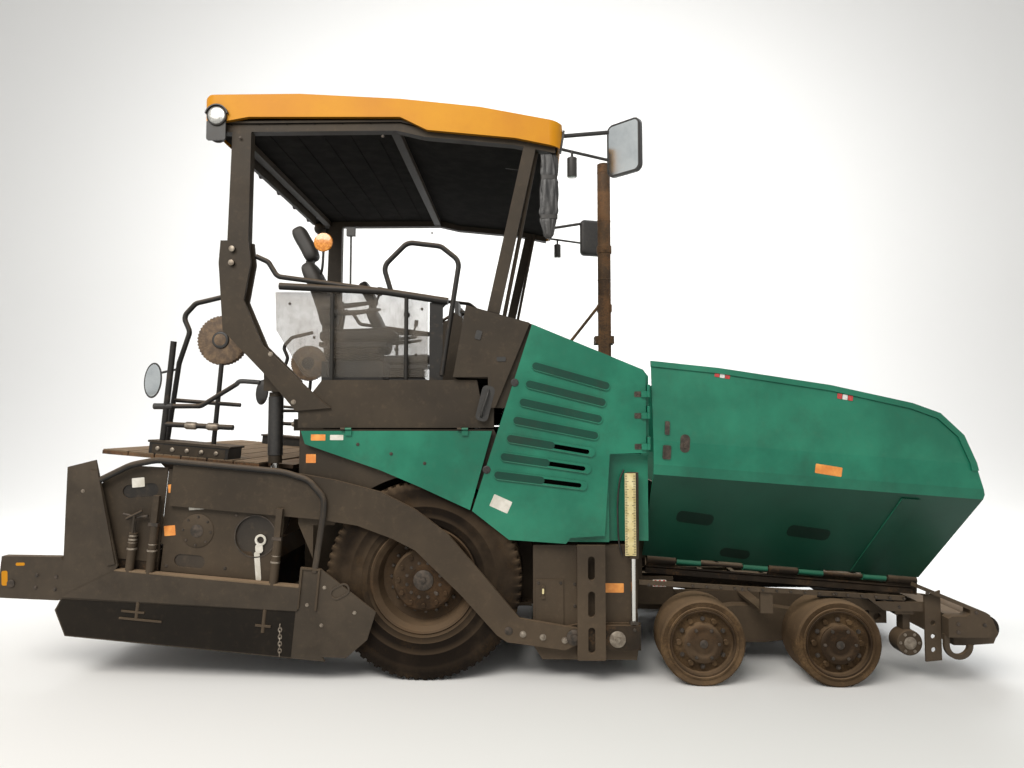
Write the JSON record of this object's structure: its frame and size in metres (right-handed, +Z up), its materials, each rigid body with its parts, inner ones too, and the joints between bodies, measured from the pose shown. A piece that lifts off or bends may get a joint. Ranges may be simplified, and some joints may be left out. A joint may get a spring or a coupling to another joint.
{
  "type": "asphalt paver",
  "caption": "Wheeled asphalt paver with hopper wings, roofed operator's deck, tow arms and an extending screed.",
  "frame": {"origin": "on the ground under the middle of the machine's bounding box", "axes": "+X forward towards the hopper, +Y to the driver's left, +Z up"},
  "size_m": [6.5435, 2.55, 3.885],
  "materials": {
    "paint_green": "faded green gloss paint",
    "paint_dark": "dusty dark grey paint",
    "paint_yellow": "orange-yellow gel coat",
    "paint_black": "satin black",
    "worn_steel": "bitumen stained steel",
    "rusty_steel": "rusted, dusty",
    "chrome_rod": "polished rod",
    "barrel_paint": "dark grey paint",
    "tyre_rubber": "dusty worn tread",
    "solid_rubber": "dusty solid rubber",
    "clear_panel": "scratched clear panel",
    "seat_vinyl": "black vinyl"
  },
  "bodies": {
    "chassis": {"main_frame": "paint_dark", "guard_rails": "paint_dark", "side_housings": "paint_dark", "tow_guides": "paint_dark", "engine": "paint_dark", "hood": "paint_green", "hood_shoulders": "paint_dark", "deck": "paint_dark", "fenders": "paint_dark", "post_brackets": "paint_dark", "handrails": "paint_black", "side_glass": "clear_panel", "seats": "seat_vinyl", "console": "paint_dark", "exhaust_stack": "rusty_steel", "canopy_frame": "paint_dark", "roof": "paint_yellow", "mirrors": "paint_black", "hopper_frame": "worn_steel", "conveyor": "worn_steel", "bogie_beams": "paint_dark", "rear_axle": "paint_dark", "auger_frame": "paint_dark", "level_cylinders": "paint_dark"},
    "wheel_right": {"tyre_right": "tyre_rubber", "rim_right": "worn_steel"},
    "wheel_left": {"tyre_left": "tyre_rubber", "rim_left": "worn_steel"},
    "knuckle_right_front": {"knuckle_right_front": "paint_dark"},
    "front_wheel_right_front": {"front_wheel_right_front": "solid_rubber"},
    "knuckle_right_rear": {"knuckle_right_rear": "paint_dark"},
    "front_wheel_right_rear": {"front_wheel_right_rear": "solid_rubber"},
    "knuckle_left_front": {"knuckle_left_front": "paint_dark"},
    "front_wheel_left_front": {"front_wheel_left_front": "solid_rubber"},
    "knuckle_left_rear": {"knuckle_left_rear": "paint_dark"},
    "front_wheel_left_rear": {"front_wheel_left_rear": "solid_rubber"},
    "push_beam": {"push_beam": "paint_dark"},
    "push_roller_right": {"push_roller_right": "worn_steel"},
    "push_roller_left": {"push_roller_left": "worn_steel"},
    "wing_right": {"wing_right": "paint_green"},
    "wing_left": {"wing_left": "paint_green"},
    "auger_right": {"auger_right": "worn_steel"},
    "auger_left": {"auger_left": "worn_steel"},
    "door_right": {"door_right": "paint_green"},
    "flap_right": {"flap_right": "paint_green"},
    "door_left": {"door_left": "paint_green"},
    "flap_left": {"flap_left": "paint_green"},
    "tow_points": {"tow_carriage": "worn_steel"},
    "screed": {"tow_arms": "paint_dark", "main_screed": "worn_steel", "walkway": "rusty_steel", "screed_rails": "paint_black"},
    "extension_right": {"extension_right": "worn_steel", "side_gate_right": "worn_steel"},
    "extension_left": {"extension_left": "worn_steel", "side_gate_left": "worn_steel"},
    "lift_barrels": {"lift_barrels": "barrel_paint"},
    "lift_rods": {"lift_rods": "chrome_rod"}
  },
  "joints": [
    {"name": "wheel_right_spin", "type": "hinge", "parent": "chassis", "child": "wheel_right", "pos_m": [-0.476, -1.012, 0.645], "axis": [0, 1, 0], "continuous": true},
    {"name": "wheel_left_spin", "type": "hinge", "parent": "chassis", "child": "wheel_left", "pos_m": [-0.476, 1.012, 0.645], "axis": [0, 1, 0], "continuous": true},
    {"name": "steer_right_front", "type": "hinge", "parent": "chassis", "child": "knuckle_right_front", "pos_m": [2.182, -0.89, 0.27], "axis": [0, 0, 1], "range_deg": [-20, 20]},
    {"name": "front_spin_right_front", "type": "hinge", "parent": "knuckle_right_front", "child": "front_wheel_right_front", "pos_m": [2.182, -1.1, 0.27], "axis": [0, 1, 0], "continuous": true},
    {"name": "steer_right_rear", "type": "hinge", "parent": "chassis", "child": "knuckle_right_rear", "pos_m": [1.324, -0.89, 0.27], "axis": [0, 0, 1], "range_deg": [-20, 20]},
    {"name": "front_spin_right_rear", "type": "hinge", "parent": "knuckle_right_rear", "child": "front_wheel_right_rear", "pos_m": [1.324, -1.1, 0.27], "axis": [0, 1, 0], "continuous": true},
    {"name": "steer_left_front", "type": "hinge", "parent": "chassis", "child": "knuckle_left_front", "pos_m": [2.182, 0.89, 0.27], "axis": [0, 0, 1], "range_deg": [-20, 20]},
    {"name": "front_spin_left_front", "type": "hinge", "parent": "knuckle_left_front", "child": "front_wheel_left_front", "pos_m": [2.182, 1.1, 0.27], "axis": [0, 1, 0], "continuous": true},
    {"name": "steer_left_rear", "type": "hinge", "parent": "chassis", "child": "knuckle_left_rear", "pos_m": [1.324, 0.89, 0.27], "axis": [0, 0, 1], "range_deg": [-20, 20]},
    {"name": "front_spin_left_rear", "type": "hinge", "parent": "knuckle_left_rear", "child": "front_wheel_left_rear", "pos_m": [1.324, 1.1, 0.27], "axis": [0, 1, 0], "continuous": true},
    {"name": "push_beam_swing", "type": "hinge", "parent": "chassis", "child": "push_beam", "pos_m": [2.844, 0, 0.33], "axis": [0, 0, 1], "range_deg": [-6, 6]},
    {"name": "push_roller_right_spin", "type": "hinge", "parent": "push_beam", "child": "push_roller_right", "pos_m": [3.188, -0.8, 0.334], "axis": [0, 1, 0], "continuous": true},
    {"name": "push_roller_left_spin", "type": "hinge", "parent": "push_beam", "child": "push_roller_left", "pos_m": [3.188, 0.8, 0.334], "axis": [0, 1, 0], "continuous": true},
    {"name": "wing_right_tip", "type": "hinge", "parent": "chassis", "child": "wing_right", "pos_m": [1.094, -0.74, 0.7], "axis": [0.9972, 0, -0.075], "range_deg": [0, 20]},
    {"name": "wing_left_tip", "type": "hinge", "parent": "chassis", "child": "wing_left", "pos_m": [1.094, 0.74, 0.7], "axis": [0.9972, 0, -0.075], "range_deg": [-20, 0]},
    {"name": "auger_right_spin", "type": "hinge", "parent": "chassis", "child": "auger_right", "pos_m": [-1.346, -0.6, 0.39], "axis": [0, 1, 0], "continuous": true},
    {"name": "auger_left_spin", "type": "hinge", "parent": "chassis", "child": "auger_left", "pos_m": [-1.346, 0.6, 0.39], "axis": [0, 1, 0], "continuous": true},
    {"name": "door_right_hinge", "type": "hinge", "parent": "chassis", "child": "door_right", "pos_m": [0.991, -1.257, 1.7], "axis": [0, 0, 1], "range_deg": [0, 80]},
    {"name": "door_left_hinge", "type": "hinge", "parent": "chassis", "child": "door_left", "pos_m": [0.991, 1.257, 1.7], "axis": [0, 0, 1], "range_deg": [-80, 0]},
    {"name": "flap_right_hinge", "type": "hinge", "parent": "chassis", "child": "flap_right", "pos_m": [-0.586, -1.25, 1.632], "axis": [1, 0, 0], "range_deg": [-75, 0]},
    {"name": "flap_left_hinge", "type": "hinge", "parent": "chassis", "child": "flap_left", "pos_m": [-0.586, 1.25, 1.632], "axis": [1, 0, 0], "range_deg": [0, 75]},
    {"name": "tow_point_lift", "type": "slide", "parent": "chassis", "child": "tow_points", "axis": [0, 0, 1], "range_m": [0, 0.12]},
    {"name": "screed_lift", "type": "hinge", "parent": "tow_points", "child": "screed", "pos_m": [0.504, 0, 0.302], "axis": [0, 1, 0], "range_deg": [-4.9, 0]},
    {"name": "extension_right_slide", "type": "slide", "parent": "screed", "child": "extension_right", "axis": [0, -1, 0], "range_m": [0, 1.2]},
    {"name": "extension_left_slide", "type": "slide", "parent": "screed", "child": "extension_left", "axis": [0, 1, 0], "range_m": [0, 1.2]},
    {"name": "lift_barrel_tilt", "type": "hinge", "parent": "chassis", "child": "lift_barrels", "pos_m": [-1.516, 0, 1.93], "axis": [0, 1, 0], "range_deg": [0, 2.71]},
    {"name": "lift_rod_slide", "type": "slide", "parent": "lift_barrels", "child": "lift_rods", "axis": [0, 0, -1], "range_m": [0, 0.1763]}
  ],
  "couplings": [
    {"joint": "steer_right_rear", "follows": "steer_right_front", "ratio": 1},
    {"joint": "steer_left_front", "follows": "steer_right_front", "ratio": 1},
    {"joint": "steer_left_rear", "follows": "steer_right_front", "ratio": 1},
    {"joint": "lift_barrel_tilt", "follows": "screed_lift", "ratio": -0.5522},
    {"joint": "lift_rod_slide", "follows": "screed_lift", "m_per_rad": -2.0616}
  ]
}
